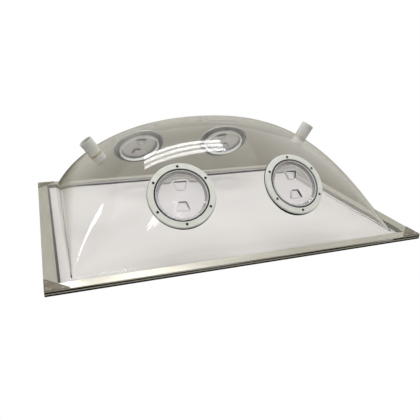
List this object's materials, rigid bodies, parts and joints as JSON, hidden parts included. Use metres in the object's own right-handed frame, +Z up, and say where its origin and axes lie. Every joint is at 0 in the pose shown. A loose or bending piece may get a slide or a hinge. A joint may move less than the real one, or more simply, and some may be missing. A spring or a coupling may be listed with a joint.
{
  "type": "domed deck hatch",
  "caption": "Blown clear dome hood clamped in a rectangular frame with a base seal, with screw-out inspection deck plates in its long sides and pipe vent sockets through its shoulders.",
  "frame": {"origin": "centre of the underside of the base seal", "axes": "+X along the hatch, +Y towards its rear, +Z up, away from the deck"},
  "size_m": [1.22, 0.949, 0.3566],
  "materials": {
    "clear_acrylic": "clear polished acrylic",
    "clear_cover": "clear moulded plastic",
    "collar_plastic": "satin off-white moulding",
    "rail_metal": "satin mill finish",
    "gusset_metal": "dull bronze-grey anodised",
    "black_rubber": "matt",
    "screw_metal": "black",
    "white_pvc": "satin",
    "washer_rubber": "matt"
  },
  "bodies": {
    "hood": {"base_rail_front": "rail_metal", "base_rail_left": "rail_metal", "base_rail_rear": "rail_metal", "base_rail_right": "rail_metal", "base_seal": "black_rubber", "clamp_rail_front": "rail_metal", "clamp_rail_left": "rail_metal", "clamp_rail_rear": "rail_metal", "clamp_rail_right": "rail_metal", "corner_gusset_front_left": "gusset_metal", "corner_gusset_front_right": "gusset_metal", "corner_gusset_rear_left": "gusset_metal", "corner_gusset_rear_right": "gusset_metal", "dome": "clear_acrylic", "port_collar_front_left": "collar_plastic", "port_collar_front_right": "collar_plastic", "port_collar_rear_left": "collar_plastic", "port_collar_rear_right": "collar_plastic", "port_gasket_front_left": "black_rubber", "port_gasket_front_right": "black_rubber", "port_gasket_rear_left": "black_rubber", "port_gasket_rear_right": "black_rubber", "port_screw_front_left_1": "screw_metal", "port_screw_front_left_2": "screw_metal", "port_screw_front_left_3": "screw_metal", "port_screw_front_left_4": "screw_metal", "port_screw_front_left_5": "screw_metal", "port_screw_front_left_6": "screw_metal", "port_screw_front_right_1": "screw_metal", "port_screw_front_right_2": "screw_metal", "port_screw_front_right_3": "screw_metal", "port_screw_front_right_4": "screw_metal", "port_screw_front_right_5": "screw_metal", "port_screw_front_right_6": "screw_metal", "port_screw_rear_left_1": "screw_metal", "port_screw_rear_left_2": "screw_metal", "port_screw_rear_left_3": "screw_metal", "port_screw_rear_left_4": "screw_metal", "port_screw_rear_left_5": "screw_metal", "port_screw_rear_left_6": "screw_metal", "port_screw_rear_right_1": "screw_metal", "port_screw_rear_right_2": "screw_metal", "port_screw_rear_right_3": "screw_metal", "port_screw_rear_right_4": "screw_metal", "port_screw_rear_right_5": "screw_metal", "port_screw_rear_right_6": "screw_metal", "vent_socket_left": "white_pvc", "vent_socket_right": "white_pvc", "vent_spigot_left": "white_pvc", "vent_spigot_right": "white_pvc", "vent_washer_left": "washer_rubber", "vent_washer_right": "washer_rubber"},
    "seal_front_left": {"port_oring_front_left": "black_rubber"},
    "lid_front_left": {"port_cover_front_left": "clear_cover"},
    "seal_front_right": {"port_oring_front_right": "black_rubber"},
    "lid_front_right": {"port_cover_front_right": "clear_cover"},
    "seal_rear_left": {"port_oring_rear_left": "black_rubber"},
    "lid_rear_left": {"port_cover_rear_left": "clear_cover"},
    "seal_rear_right": {"port_oring_rear_right": "black_rubber"},
    "lid_rear_right": {"port_cover_rear_right": "clear_cover"}
  },
  "joints": [
    {"name": "lift_front_left", "type": "slide", "parent": "hood", "child": "seal_front_left", "axis": [-0.0863, -0.7578, 0.6468], "range_m": [0, 0.018]},
    {"name": "turn_front_left", "type": "hinge", "parent": "seal_front_left", "child": "lid_front_left", "pos_m": [-0.1908, -0.335, 0.1963], "axis": [-0.0863, -0.7578, 0.6468], "range_deg": [0, 540]},
    {"name": "lift_front_right", "type": "slide", "parent": "hood", "child": "seal_front_right", "axis": [0.0863, -0.7578, 0.6468], "range_m": [0, 0.018]},
    {"name": "turn_front_right", "type": "hinge", "parent": "seal_front_right", "child": "lid_front_right", "pos_m": [0.1908, -0.335, 0.1963], "axis": [0.0863, -0.7578, 0.6468], "range_deg": [0, 540]},
    {"name": "lift_rear_left", "type": "slide", "parent": "hood", "child": "seal_rear_left", "axis": [-0.0863, 0.7578, 0.6468], "range_m": [0, 0.018]},
    {"name": "turn_rear_left", "type": "hinge", "parent": "seal_rear_left", "child": "lid_rear_left", "pos_m": [-0.1908, 0.335, 0.1963], "axis": [-0.0863, 0.7578, 0.6468], "range_deg": [0, 540]},
    {"name": "lift_rear_right", "type": "slide", "parent": "hood", "child": "seal_rear_right", "axis": [0.0863, 0.7578, 0.6468], "range_m": [0, 0.018]},
    {"name": "turn_rear_right", "type": "hinge", "parent": "seal_rear_right", "child": "lid_rear_right", "pos_m": [0.1908, 0.335, 0.1963], "axis": [0.0863, 0.7578, 0.6468], "range_deg": [0, 540]}
  ],
  "couplings": [
    {"joint": "lift_front_left", "follows": "turn_front_left", "m_per_rad": 0.0019098},
    {"joint": "lift_front_right", "follows": "turn_front_right", "m_per_rad": 0.0019098},
    {"joint": "lift_rear_left", "follows": "turn_rear_left", "m_per_rad": 0.0019098},
    {"joint": "lift_rear_right", "follows": "turn_rear_right", "m_per_rad": 0.0019098}
  ]
}
